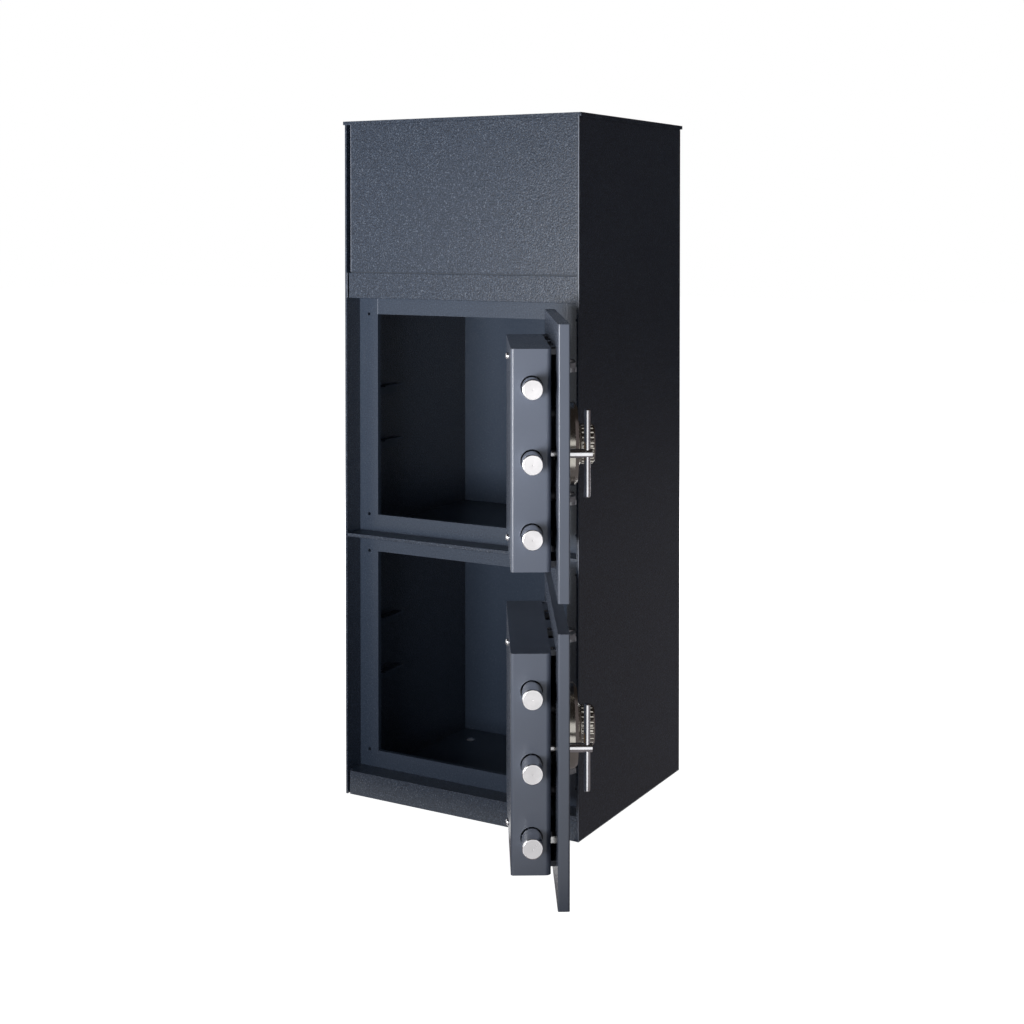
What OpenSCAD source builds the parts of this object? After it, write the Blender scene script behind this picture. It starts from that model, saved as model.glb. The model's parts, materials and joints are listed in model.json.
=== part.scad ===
// Two-compartment deposit safe with a rear-loading hopper in its head.
// Origin: centre of the base. X to the viewer's right, Y to the back, Z up. Millimetres.
// The doors stand open and their bolts are thrown, as the joints' rest pose.

/* [Casing] */
// Width over the side walls
safe_w = 357; // [345:1:400]
// Depth from the front edges to the back face
safe_d = 311; // [300:1:380]
// Height over the top plate
safe_h = 914.4; // [890:1:1000]
// Sheet of the side walls and the back
wall_t = 3.4; // [2.5:0.1:4.5]
// Floor plate thickness
floor_t = 6.35; // [4:0.05:8]
// Top plate thickness
top_t = 4.76; // [3:0.02:8]
// Top plate overhang past the sides and the back
top_overhang = 3; // [1:0.5:6]
// Outer rounding of the front edges of the walls
wall_edge_r = 1.2; // [0.6:0.1:1.6]
// Anchor hole diameter
anchor_hole_d = 14.3; // [9:0.1:16]
// Anchor hole centre from the casing's outer side
anchor_from_side = 38.9; // [30:0.1:60]
// Anchor hole centre from the casing's front and back
anchor_from_end = 46.5; // [46.5:0.5:90]

/* [Front frame] */
// Thickness of the head panel, header band and sill
front_t = 6.35; // [4:0.05:8]
// Height of the head above the header band
head_h = 199.7; // [195:0.1:240]
// Header band height
header_h = 34; // [26:0.5:44]
// Sill height
sill_h = 32; // [26:0.5:44]
// Divider shelf thickness
shelf_t = 4.76; // [3:0.02:8]
// Depth of the door recess, front edge to door frame
recess_depth = 30.6; // [29.6:0.1:33]
// Door frame plate thickness
frame_t = 6.35; // [4:0.05:8]
// Width of the door frame's side strips
frame_side = 29.6; // [27:0.1:34]
// Width of the door frame's top and bottom strips
frame_end = 22.8; // [20:0.1:28]
// Gap at the left end of the header band and sill
band_gap = 3.6; // [2:0.1:5]
// Gap at the left end of the head panel
head_gap = 6.6; // [3:0.1:8]
// Seam between the head panel and the header band
seam = 1.5; // [0.6:0.1:2.5]
// Folded ledges of the header band and sill
ledge_t = 4.76; // [3:0.02:6]
// Frame screw hole diameter
frame_hole_d = 4.4; // [3:0.1:6]
// Frame screw hole from the recess side
frame_hole_in = 15.1; // [10:0.1:20]

/* [Shelf supports] */
// Length of a support along the wall
support_len = 45; // [30:1:60]
// Support shelf width, out from the wall
support_w = 12; // [8:0.5:18]
// Support sheet thickness
support_t = 2.5; // [1.5:0.1:4]
// Support leg height on the wall
support_leg = 14; // [8:0.5:20]
// Support from the casing's front
support_from_front = 74; // [60:1:110]
// Lower support above the opening's bottom
support_low = 96; // [70:1:120]
// Upper support above the opening's bottom
support_high = 172; // [150:1:200]

/* [Doors] */
// Door plate thickness
door_t = 12.7; // [10:0.1:13.5]
// Gap between door and recess at each side
door_side_gap = 11.1; // [10:0.1:12]
// Gap above the door
door_top_gap = 6.8; // [5:0.1:12]
// Gap below the door
door_bottom_gap = 20.4; // [15:0.1:21]
// Gap between the closed door and its frame
door_frame_gap = 1.6; // [1:0.1:2.2]
// Rounding of the door plate's upright edges
door_edge_r = 2; // [1:0.1:3]
// Jig hole diameter, in the inner face by the free edge
jig_hole_d = 9; // [6:0.1:11]
// Jig hole depth
jig_hole_deep = 8; // [4:0.5:9]
// Jig hole from the door's free edge
jig_hole_in = 14; // [10:0.5:20]
// Jig holes from the door's top and bottom
jig_hole_end = 12.5; // [9:0.5:16]
// Angle at which the doors stand open
open_angle = 121; // [95:1:130]

/* [Hinges] */
// Hinge pin from the casing's outer side
pin_from_side = 12.4; // [12:0.1:13.5]
// Hinge pin in front of the casing's front edges
pin_out = 2; // [1:0.1:3]
// Hinge pin diameter
hinge_pin_d = 9.5; // [7:0.1:11]
// Hinge eye diameter
hinge_eye_d = 16; // [14:0.1:17]
// Hinge plate thickness
hinge_plate_t = 6.2; // [4:0.1:9]
// Distance between a door's two hinges
hinge_spacing = 166; // [120:1:190]
// Upper door's hinges below its middle
upper_hinge_drop = 9; // [0:0.5:24]
// Lower door's hinges below its middle
lower_hinge_drop = 22; // [0:0.5:24]
// Hinge pin head diameter
hinge_head_d = 13; // [12:0.1:15]
// Hinge pin head height
hinge_head_h = 2.4; // [1.5:0.1:4]

/* [Boltwork housing] */
// Gap between the housing and the dead bar
housing_bar_gap = 18.3; // [12:0.1:30]
// Gap between the housing's top and the door opening
housing_top_gap = 11.45; // [8:0.05:18]
// Housing depth from the door plate
housing_depth = 48.8; // [47:0.1:52]
// Gap between the housing and the door plate
housing_gap = 5.8; // [5.4:0.1:7]
// Housing face from the door's free edge
housing_inset = 27.8; // [27:0.1:30]
// Housing sheet thickness
sheet_t = 3; // [2:0.1:3.5]
// Outer radius of the bend next to the door plate
bend_r = 6; // [4:0.1:8]
// Flange returned beside the door plate
flange_w = 16; // [10:0.5:24]
// Cover screw from the housing's top and bottom
cover_screw_in = 16; // [10:0.5:24]
// Cover screws from the cover's middle, to the bolt side
cover_screw_shift = 10; // [0:1:40]
// Cover screw head diameter
cover_screw_d = 8; // [6:0.1:10]
// Cover screw head height
cover_screw_h = 3.4; // [2:0.1:4.5]
// Tab length
tab_len = 50; // [30:0.5:52]
// Step from the housing's end down to the tabs
tab_drop = 1.5; // [0.5:0.1:2.5]
// First tab screw from the housing's bolt face
tab_first = 26.6; // [20:0.1:28]
// Distance between tabs
tab_pitch = 84; // [70:1:85]
// Tab screw from the tab's end
tab_screw_in = 6; // [4:0.5:12]
// Tab screw head diameter
tab_screw_d = 5; // [4:0.1:5.2]

/* [Bolts] */
// Locking bolt diameter
bolt_d = 22.2; // [18:0.1:24]
// Gap round a bolt in the housing
bolt_hole_gap = 1; // [0.6:0.1:3]
// Distance between bolts
bolt_pitch = 78.5; // [70:0.5:85]
// Bolt centre from the door plate
bolt_axis = 26.5; // [25:0.1:28]
// Bolt tip past the housing face when thrown
bolt_out = 31.8; // [31:0.1:33]
// Bolt travel
bolt_throw = 31; // [29:0.1:31]
// Bolt end chamfer
bolt_chamfer = 1.3; // [0.5:0.1:3]
// Flat milled on a bolt where it sits on the carriage
bolt_flat = 1.5; // [0.5:0.1:3]
// Carriage plate thickness
carriage_t = 4.6; // [3:0.1:5]
// Carriage width
carriage_w = 56; // [52:0.5:58]
// Bolt length
bolt_len = 86; // [80:0.5:92]
// Carriage stud diameter
stud_d = 8; // [6:0.1:9]
// Carriage stud head diameter
stud_head_d = 14; // [12:0.1:16]
// Carriage stud above and below the door's middle
stud_rise = 45; // [40:0.5:52]

/* [Handle] */
// Handle spindle from the door's free edge
handle_in = 84; // [80:0.5:87]
// Handle spindle diameter
spindle_d = 10.3; // [9.2:0.1:12]
// Spindle length outside the door
spindle_out = 29.4; // [28:0.1:36]
// Crossbar diameter
crossbar_d = 7.2; // [6:0.1:8.3]
// Crossbar length
crossbar_len = 97; // [80:1:110]
// Crossbar centre from the door's outer face
crossbar_out = 23.6; // [22:0.1:25]
// Handle turn from thrown to retracted
handle_turn = 90; // [80:1:100]
// Handle bush outer diameter
bush_d = 15; // [14:0.1:18]
// Bush flange diameter
bush_flange_d = 21; // [19:0.5:26]
// Bush flange thickness
bush_flange_t = 2; // [1:0.1:3]
// Crank thickness
crank_t = 5; // [3:0.1:5.5]
// Crank pin diameter
crank_pin_d = 6; // [4:0.1:7]
// Slack of the crank pin in its slot
crank_slack = 1.2; // [1:0.1:1.5]

/* [Dial] */
// Dial ring outer diameter
ring_d = 97; // [88:0.5:104]
// Dial ring thickness
ring_t = 17; // [12:0.5:20]
// Dial diameter
dial_d = 82; // [70:0.5:84]
// Dial flange thickness
dial_t = 7; // [4:0.1:9]
// Dial knob diameter
knob_d = 46; // [36:0.5:56]
// Dial knob front from the door's outer face
knob_out = 37; // [32:0.5:42]
// Grip flutes round the dial knob
knob_flutes = 24; // [12:1:28]
// Grip flute radius
flute_r = 2.2; // [1.5:0.1:2.4]
// Grip flute depth
flute_deep = 1.3; // [0.5:0.1:1.4]
// Dial spindle diameter
dial_spindle_d = 7.9; // [6:0.1:10]
// Drive cam diameter
drive_cam_d = 44; // [36:0.5:46]
// Drive cam and wheel thickness
wheel_t = 3; // [2:0.1:3.2]

/* [Lock] */
// Lock case width
lock_w = 66; // [60:0.5:68]
// Lock case height
lock_h = 70; // [64:0.5:72]
// Lock case depth from the door plate
lock_depth = 34; // [33:0.5:38]
// Lock case wall
lock_wall = 4; // [3:0.1:5]
// Lock bolt width
lock_bolt_w = 12; // [8:0.1:16]
// Lock bolt thickness
lock_bolt_t = 8; // [6:0.1:9]
// Lock bolt travel
lock_throw = 8; // [6:0.1:9]

/* [Dead bar] */
// Height of the fixed bar on the hinge side
dead_bar_h = 200; // [120:1:220]
// Reach of the bar behind the frame
dead_bar_reach = 6.5; // [4:0.1:7]
// Bar plate thickness
dead_bar_t = 8; // [6:0.1:9]

/* [Hopper] */
// Hopper door width
hopper_w = 238; // [180:1:250]
// Hopper swing radius
hopper_r = 110; // [90:1:112]
// Hopper sheet thickness
hopper_sheet = 2.5; // [1.5:0.1:3]
// Hopper door thickness
hopper_door_t = 4.76; // [3:0.02:6]
// Hopper shaft diameter
hopper_shaft_d = 12; // [8:0.1:12.5]
// Shaft centre inside the back face
shaft_in = 12; // [12:0.1:16]
// Shaft centre above the head's floor
shaft_rise = 65; // [60:1:70]
// Angle between the hopper door and its tray
tray_angle = 110; // [100:1:112]
// Hopper opening swing
hopper_swing = 55; // [40:1:58]
// Clearance round the hopper door
hopper_gap = 2; // [1.5:0.1:4]
// Pull bar diameter
pull_d = 10; // [8:0.1:12]
// Pull bar length
pull_len = 120; // [80:1:160]
// Pull bar centre behind the hopper door
pull_out = 28; // [22:0.5:36]
// Pull bar centre above the shaft
pull_rise = 85.8; // [60:0.1:95]
// Diameter of the pull posts' ends in the hopper door
pull_tenon_d = 6; // [4:0.1:7]
// Chute width
chute_w = 240; // [200:1:270]
// Chute depth front to back
chute_d = 118; // [90:1:120]
// Chute height above the head's floor
chute_rise = 14; // [8:0.5:16]

/* [Hidden] */
$fn = 96;
// Clearances and fits
run_fit = 0.05;
slide_gap = 0.3;
clear_gap = 1;
hole_over = 1;
// Casing planes
half_w = safe_w/2;
half_d = safe_d/2;
front_y = -half_d;
inner_x = half_w - wall_t;
inner_back_y = half_d - wall_t;
wall_top = safe_h - top_t;
recess_h = (wall_top - head_h - header_h - shelf_t - sill_h)/2;
shelf_z = sill_h + recess_h;
upper_recess_z = shelf_z + shelf_t;
header_z = upper_recess_z + recess_h;
head_z = header_z + header_h;
frame_y = front_y + recess_depth;
frame_back_y = frame_y + frame_t;
opening_x = inner_x - frame_side;
opening_h = recess_h - 2*frame_end;
lower_opening_z = sill_h + frame_end;
upper_opening_z = upper_recess_z + frame_end;
anchor_x = half_w - anchor_from_side;
anchor_y = half_d - anchor_from_end;
// Doors, drawn closed about their own middle height and swung about the pin
door_h = recess_h - door_top_gap - door_bottom_gap;
door_x = inner_x - door_side_gap;
lower_door_z = sill_h + door_bottom_gap + door_h/2;
upper_door_z = upper_recess_z + door_bottom_gap + door_h/2;
door_in_y = frame_y - door_frame_gap;
door_out_y = door_in_y - door_t;
pin_x = half_w - pin_from_side;
pin_y = front_y - pin_out;
hinge_zs = [-hinge_spacing/2, hinge_spacing/2];
hinge_places = concat([for (z = hinge_zs) lower_door_z - lower_hinge_drop + z],
                      [for (z = hinge_zs) upper_door_z - upper_hinge_drop + z]);
hinge_seat = 0.5;
lug_depth = 13;
lug_y = front_y + lug_depth;
lug_back_x = 2;
arm_reach = 46;
arm_foot = 30;
arm_slope = 5;
arm_flat_y = -hinge_eye_d/2 + clear_gap;
dead_bar_neck = 5.5;
dead_bar_foot = 14;
dead_bar_room = 4;
dead_bar_x1 = opening_x - dead_bar_neck;
dead_bar_x0 = dead_bar_x1 - dead_bar_foot;
// Boltwork
door_shift = (door_bottom_gap - door_top_gap)/2;
housing_h = opening_h - 2*door_shift - 2*housing_top_gap;
face_x = -door_x + housing_inset;
housing_end_x = dead_bar_x0 - housing_bar_gap;
housing_len = housing_end_x - face_x;
housing_in_y = door_in_y + housing_gap;
housing_out_y = door_in_y + housing_depth;
far_bend_r = 3.2;
half_housing = housing_h/2;
bolt_hole_d = bolt_d + 2*bolt_hole_gap;
bolt_y = door_in_y + bolt_axis;
bolt_tip_x = face_x - bolt_out;
bolt_zs = [-bolt_pitch, 0, bolt_pitch];
handle_x = -door_x + handle_in;
crank_r = bolt_throw/(2*sin(handle_turn/2));
crank_pin_x = handle_x - crank_r*sin(handle_turn/2);
crank_pin_z = crank_r*cos(handle_turn/2);
carriage_y1 = bolt_y - bolt_d/2 + bolt_flat;
carriage_y0 = carriage_y1 - carriage_t;
carriage_past = 10;
carriage_x1 = bolt_tip_x + bolt_len + carriage_past;
carriage_x0 = carriage_x1 - carriage_w;
carriage_h = 2*bolt_pitch + bolt_d;
stud_edge = 5;
stud_cap = 4;
stud_x = carriage_x1 - stud_d/2 - stud_edge;
crank_y1 = carriage_y0 - clear_gap;
crank_y0 = crank_y1 - crank_t;
// Lock, with its case about the dial's axis
lock_y1 = door_in_y + lock_depth;
lock_x0 = -lock_w/2;
lock_bolt_y = (carriage_y0 + carriage_y1)/2;
tail_rise = lock_h/2 + clear_gap;
tail_h = 16;
tooth_x = -lock_bolt_w/2 - clear_gap;
tooth_w = 18;
wheel_count = 4;
wheel_step = wheel_t + clear_gap;
wheel_y = lock_y1 - lock_wall - wheel_t - wheel_count*wheel_step;
lock_pocket_d = drive_cam_d + 4*clear_gap;
dial_spindle_in = lock_depth - lock_wall - clear_gap;
// Hopper, about its shaft
shaft_y = half_d - shaft_in;
shaft_z = head_z + shaft_rise;
hopper_x = hopper_w/2;
hopper_foot = 8;
hopper_foot_room = 4;
baffle_gap = 3;
baffle_r = hopper_r + baffle_gap;
bracket_t = 9;
bracket_wall = 5;
bracket_x = hopper_x + hopper_gap + clear_gap;
hopper_bush_t = 2;
hopper_bush_d = hopper_shaft_d + 2*hopper_bush_t;
shaft_past = 3;
chute_from_back = 16;
chute_back_y = inner_back_y - chute_from_back;
chute_t = 2.5;
chute_drop = 22;

// Colours of the finishes
charcoal = [0.24, 0.26, 0.30];
smooth_grey = [0.36, 0.38, 0.43];
chrome_tone = [0.85, 0.86, 0.88];
steel_tone = [0.55, 0.56, 0.58];
brass_tone = [0.75, 0.60, 0.30];
dark_tone = [0.10, 0.10, 0.11];

// Box between two corners
module span(low, high) {
  translate(low) cube(high - low);
}

// Rod along Y between two depths
module rod_y(d, y0, y1) {
  translate([0, y0, 0]) rotate([-90, 0, 0]) cylinder(d = d, h = y1 - y0);
}

// Rod along X between two places
module rod_x(d, x0, x1) {
  translate([x0, 0, 0]) rotate([0, 90, 0]) cylinder(d = d, h = x1 - x0);
}

// Outline with two ends cut square and two ends rounded
module slot_outline(length, width) {
  square([length, width], center = true);
  for (side = [-1, 1]) translate([side*length/2, 0]) circle(d = width);
}

// Rectangle with a radius on each corner pair, near and far in Y
module soft_rectangle(x0, x1, y0, y1, r_near, r_far) {
  translate([x0, y0 + r_near]) square([x1 - x0, y1 - r_far - y0 - r_near]);
  translate([x0 + r_near, y0]) square([x1 - x0 - 2*r_near, r_near]);
  translate([x0 + r_far, y1 - r_far]) square([x1 - x0 - 2*r_far, r_far]);
  for (x = [x0 + r_near, x1 - r_near]) translate([x, y0 + r_near]) circle(r = r_near);
  for (x = [x0 + r_far, x1 - r_far]) translate([x, y1 - r_far]) circle(r = r_far);
}

// Swings a closed door's piece to the open pose, at the door's height
module hung(door_z) {
  translate([pin_x, pin_y, door_z]) rotate([0, 0, open_angle])
    translate([-pin_x, -pin_y, 0]) children();
}

// Side wall, with its front edge rounded on the outside
module side_wall(side) {
  color(charcoal)
    mirror([side < 0 ? 1 : 0, 0, 0])
      linear_extrude(wall_top) {
        translate([inner_x, front_y + wall_edge_r]) square([wall_t, safe_d - wall_edge_r]);
        translate([inner_x, front_y]) square([wall_t - wall_edge_r, wall_edge_r]);
        translate([half_w - wall_edge_r, front_y + wall_edge_r]) circle(r = wall_edge_r);
      }
}

module left_wall() { side_wall(-1); }
module right_wall() { side_wall(1); }

module back_panel() {
  color(charcoal) difference() {
    span([-inner_x, inner_back_y, 0], [inner_x, half_d, wall_top]);
    span([-hopper_x - hopper_gap, inner_back_y - hole_over,
          shaft_z - hopper_foot - hopper_foot_room - hopper_gap],
         [hopper_x + hopper_gap, half_d + hole_over, shaft_z + hopper_r + hopper_gap]);
  }
}

module floor_plate() {
  color(charcoal) difference() {
    span([-inner_x, front_y + front_t, 0], [inner_x, inner_back_y, floor_t]);
    for (x = [-anchor_x, anchor_x], y = [-anchor_y, anchor_y])
      translate([x, y, -hole_over]) cylinder(d = anchor_hole_d, h = floor_t + 2*hole_over);
  }
}

module top_plate() {
  color(charcoal)
    translate([0, 0, wall_top]) linear_extrude(top_t)
      soft_rectangle(-half_w - top_overhang, half_w + top_overhang,
                     front_y, half_d + top_overhang, wall_edge_r, top_overhang);
}

module head_panel() {
  color(charcoal)
    span([-inner_x + head_gap, front_y, head_z + seam], [inner_x, front_y + front_t, wall_top]);
}

// Front band with a ledge that runs back to the door frame
module header_band() {
  color(charcoal) {
    span([-inner_x + band_gap, front_y, header_z], [inner_x, front_y + front_t, head_z]);
    span([-inner_x, front_y + front_t, header_z], [inner_x, frame_y, header_z + ledge_t]);
  }
}

module head_floor() {
  color(charcoal) difference() {
    span([-inner_x, front_y + front_t, head_z - shelf_t], [inner_x, inner_back_y, head_z]);
    span([-chute_w/2, chute_back_y - chute_d, head_z - shelf_t - hole_over],
         [chute_w/2, chute_back_y, head_z + hole_over]);
  }
}

module divider_shelf() {
  color(charcoal)
    span([-inner_x, front_y, shelf_z], [inner_x, inner_back_y, upper_recess_z]);
}

module sill() {
  color(charcoal) {
    span([-inner_x + band_gap, front_y, 0], [inner_x, front_y + front_t, sill_h]);
    span([-inner_x, front_y + front_t, sill_h - ledge_t], [inner_x, frame_y, sill_h]);
  }
}

// Plate behind a door, with the door opening and its four screw holes
module door_frame(z0, z1, opening_z) {
  hole_x = inner_x - frame_hole_in;
  color(charcoal) difference() {
    span([-inner_x, frame_y, z0], [inner_x, frame_back_y, z1]);
    span([-opening_x, frame_y - hole_over, opening_z],
         [opening_x, frame_back_y + hole_over, opening_z + opening_h]);
    for (x = [-hole_x, hole_x], z = [opening_z, opening_z + opening_h])
      translate([x, 0, z]) rod_y(frame_hole_d, frame_y - hole_over, frame_back_y + hole_over);
  }
}

module upper_door_frame() { door_frame(upper_recess_z, head_z - shelf_t, upper_opening_z); }
module lower_door_frame() { door_frame(floor_t, shelf_z, lower_opening_z); }

// Angle brackets that carry loose shelves, on both side walls
module shelf_supports() {
  y0 = front_y + support_from_front;
  color(charcoal)
    for (side = [0, 1], z0 = [lower_opening_z, upper_opening_z], rise = [support_low, support_high])
      mirror([side, 0, 0]) translate([inner_x, y0, z0 + rise]) {
        span([-support_w, 0, -support_t], [0, support_len, 0]);
        span([-support_t, 0, -support_leg], [0, support_len, -support_t]);
      }
}

// Eye on the pin with a foot welded to the inside of the right wall
module hinge_lug() {
  linear_extrude(hinge_plate_t) difference() {
    union() {
      circle(d = hinge_eye_d);
      polygon([[0, -hinge_eye_d/2], [inner_x - pin_x, front_y - pin_y],
               [inner_x - pin_x, lug_y - pin_y], [lug_back_x, lug_y - pin_y], [0, hinge_eye_d/2]]);
    }
    circle(d = hinge_pin_d);
  }
}

module hinge_lugs() {
  color(smooth_grey)
    for (z = hinge_places)
      translate([pin_x, pin_y, z - hinge_plate_t - hinge_seat/2]) hinge_lug();
}

// Pins pressed into the lugs, with a collar that carries the door arm
module hinge_pins() {
  pin_h = 2*hinge_plate_t + hinge_seat + slide_gap;
  collar_h = hinge_plate_t + hinge_seat - 2*run_fit;
  bevel = hinge_head_h*0.4;
  color(steel_tone)
    for (z = hinge_places)
      translate([pin_x, pin_y, z - hinge_plate_t - hinge_seat/2])
        rotate_extrude() polygon([
          [0, 0], [hinge_pin_d/2, 0], [hinge_pin_d/2, hinge_plate_t],
          [hinge_head_d/2, hinge_plate_t], [hinge_head_d/2, collar_h],
          [hinge_pin_d/2, collar_h], [hinge_pin_d/2, pin_h],
          [hinge_head_d/2, pin_h], [hinge_head_d/2, pin_h + hinge_head_h - bevel],
          [hinge_head_d/2 - bevel, pin_h + hinge_head_h], [0, pin_h + hinge_head_h]]);
}

// Duct that carries deposits from the hopper through the head's floor
module hopper_chute() {
  y0 = chute_back_y - chute_d;
  color(charcoal) difference() {
    span([-chute_w/2, y0, head_z - chute_drop], [chute_w/2, chute_back_y, head_z + chute_rise]);
    span([-chute_w/2 + chute_t, y0 + chute_t, head_z - chute_drop - hole_over],
         [chute_w/2 - chute_t, chute_back_y - chute_t, head_z + chute_rise + hole_over]);
  }
}

// Curved guard that the tray's edge follows, hung from the top plate
module hopper_baffle() {
  start = 140;
  end = 184;
  reach = 2*baffle_r;
  hanger_y = baffle_r*cos(start);
  color(charcoal)
    translate([-hopper_x, shaft_y, shaft_z]) rotate([90, 0, 90]) linear_extrude(hopper_w) {
      intersection() {
        difference() {
          circle(r = baffle_r + hopper_sheet);
          circle(r = baffle_r);
        }
        polygon([[0, 0], [reach*cos(start), reach*sin(start)],
                 [-reach, reach*tan(180 - start)], [reach*cos(end), reach*sin(end)]]);
      }
      translate([hanger_y - hopper_sheet, baffle_r*sin(start)])
        square([hopper_sheet, wall_top - shaft_z - baffle_r*sin(start)]);
    }
}

// Blocks on the back panel that hold the shaft's bushes
module hopper_brackets() {
  color(charcoal)
    for (side = [0, 1]) mirror([side, 0, 0])
      difference() {
        span([bracket_x, shaft_y - hopper_bush_d/2 - bracket_wall, shaft_z - hopper_bush_d/2 - bracket_wall],
             [bracket_x + bracket_t, inner_back_y, shaft_z + hopper_bush_d/2 + bracket_wall]);
        translate([0, shaft_y, shaft_z])
          rod_x(hopper_bush_d, bracket_x - hole_over, bracket_x + bracket_t + hole_over);
      }
}

module hopper_bushes() {
  color(brass_tone)
    for (side = [0, 1]) mirror([side, 0, 0])
      translate([0, shaft_y, shaft_z]) difference() {
        rod_x(hopper_bush_d, bracket_x, bracket_x + bracket_t);
        rod_x(hopper_shaft_d + 2*run_fit, bracket_x - hole_over, bracket_x + bracket_t + hole_over);
      }
}

module hopper_shaft() {
  end_x = bracket_x + bracket_t + shaft_past;
  color(steel_tone) translate([0, shaft_y, shaft_z]) rod_x(hopper_shaft_d, -end_x, end_x);
}

module hopper_door() {
  color(charcoal) difference() {
    span([-hopper_x, half_d - hopper_door_t, shaft_z - hopper_foot],
         [hopper_x, half_d, shaft_z + hopper_r]);
    for (side = [-1, 1])
      translate([side*pull_len/2, 0, shaft_z + pull_rise])
        rod_y(pull_tenon_d, half_d - hopper_door_t - hole_over, half_d + hole_over);
  }
}

// Cheeks and sloping tray folded behind the hopper door
module hopper_bucket() {
  door_y = half_d - hopper_door_t - shaft_y;
  r = hopper_r - clear_gap;
  tray_a = 90 + tray_angle;
  cheek_x = hopper_x - clear_gap - hopper_sheet;
  color(charcoal) translate([0, shaft_y, shaft_z]) difference() {
    union() {
      for (x = [-cheek_x - hopper_sheet, cheek_x])
        translate([x, 0, 0]) rotate([90, 0, 90]) linear_extrude(hopper_sheet) union() {
          circle(r = door_y);
          intersection() {
            circle(r = r);
            polygon([[door_y, -hopper_foot], [door_y, 2*r], [-2*r, 2*r],
                     [2*r*cos(tray_a), 2*r*sin(tray_a)], [0, -hopper_foot]]);
          }
        }
      rotate([tray_a - 180, 0, 0])
        span([-cheek_x, -r, hopper_shaft_d/2], [cheek_x, -hopper_shaft_d/2, hopper_shaft_d/2 + hopper_sheet]);
      span([-cheek_x, -hopper_sheet, hopper_shaft_d/2 - clear_gap/2],
           [cheek_x, door_y, hopper_shaft_d/2 + hopper_sheet]);
    }
    rod_x(hopper_shaft_d, -hopper_w, hopper_w);
  }
}

// Pull bar with two posts that seat on the hopper door
module hopper_pull() {
  color(steel_tone) translate([0, half_d, shaft_z + pull_rise]) {
    translate([0, pull_out, 0]) rod_x(pull_d, -pull_len/2 - pull_d, pull_len/2 + pull_d);
    for (side = [-1, 1]) translate([side*pull_len/2, 0, 0]) {
      rod_y(pull_d, 0, pull_out);
      rod_y(pull_tenon_d, -hopper_door_t, pull_out);
    }
  }
}

// Door plate with the handle and dial bores and two jig holes
module door_plate(door_z) {
  color(smooth_grey) hung(door_z) difference() {
    translate([0, 0, -door_h/2]) linear_extrude(door_h)
      soft_rectangle(-door_x, door_x, door_out_y, door_in_y, door_edge_r, door_edge_r);
    translate([handle_x, 0, 0]) rod_y(bush_d, door_out_y - hole_over, door_in_y + hole_over);
    rod_y(dial_spindle_d + 4*clear_gap, door_out_y - hole_over, door_in_y + hole_over);
    for (side = [-1, 1])
      translate([-door_x + jig_hole_in, 0, side*(door_h/2 - jig_hole_end)])
        rod_y(jig_hole_d, door_in_y - jig_hole_deep, door_in_y + hole_over);
  }
}

// Outline of the housing's bent sheet, seen from above, with a square corner at its end wall
module housing_outline(inset) {
  soft_rectangle(face_x + inset, housing_end_x - inset, housing_in_y + inset,
                 housing_out_y - inset, bend_r - inset, far_bend_r - inset);
  translate([housing_end_x - inset - bend_r, housing_in_y + inset]) square(bend_r);
}

// Folded cover over the boltwork, with a flange at the bolts and an end wall down to the door plate
module housing(door_z) {
  color(smooth_grey) hung(door_z) difference() {
    union() {
      translate([0, 0, -half_housing]) linear_extrude(housing_h) {
        difference() {
          housing_outline(0);
          housing_outline(sheet_t);
          translate([face_x + flange_w, housing_in_y - hole_over])
            square([housing_len - flange_w - sheet_t, sheet_t + 2*hole_over]);
        }
        translate([housing_end_x - sheet_t, door_in_y]) square([sheet_t, housing_gap + sheet_t]);
      }
      for (z = [-half_housing, half_housing - sheet_t])
        translate([0, 0, z]) linear_extrude(sheet_t) housing_outline(0);
    }
    for (z = bolt_zs)
      translate([0, bolt_y, z]) rod_x(bolt_hole_d, face_x - hole_over, face_x + sheet_t + hole_over);
  }
}

// Tabs from the door plate to the housing's ends, above and below
module housing_tabs(door_z) {
  tab_z = half_housing - tab_drop;
  color(smooth_grey) hung(door_z)
    for (side = [0, 1], i = [0:2]) mirror([0, 0, side])
      translate([face_x + tab_first + i*tab_pitch - tab_screw_in, 0, 0])
        span([0, door_in_y, tab_z - 2*sheet_t], [tab_len, housing_in_y, tab_z]);
}

// Screws of the tabs and the two that hold the cover's far face
module housing_screws(door_z) {
  tab_y = (door_in_y + housing_in_y)/2;
  taper = 0.68;
  tab_screw_h = tab_screw_d*0.4;
  cover_screw_x = (face_x + housing_end_x)/2 - cover_screw_shift;
  color(chrome_tone) hung(door_z) {
    for (side = [0, 1], i = [0:2]) mirror([0, 0, side])
      translate([face_x + tab_first + i*tab_pitch, tab_y, half_housing - tab_drop])
        cylinder(d1 = tab_screw_d, d2 = tab_screw_d*taper, h = tab_screw_h);
    for (z = [-half_housing + cover_screw_in, half_housing - cover_screw_in])
      translate([cover_screw_x, housing_out_y, z]) rotate([-90, 0, 0])
        cylinder(d1 = cover_screw_d, d2 = cover_screw_d*taper, h = cover_screw_h);
  }
}

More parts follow.
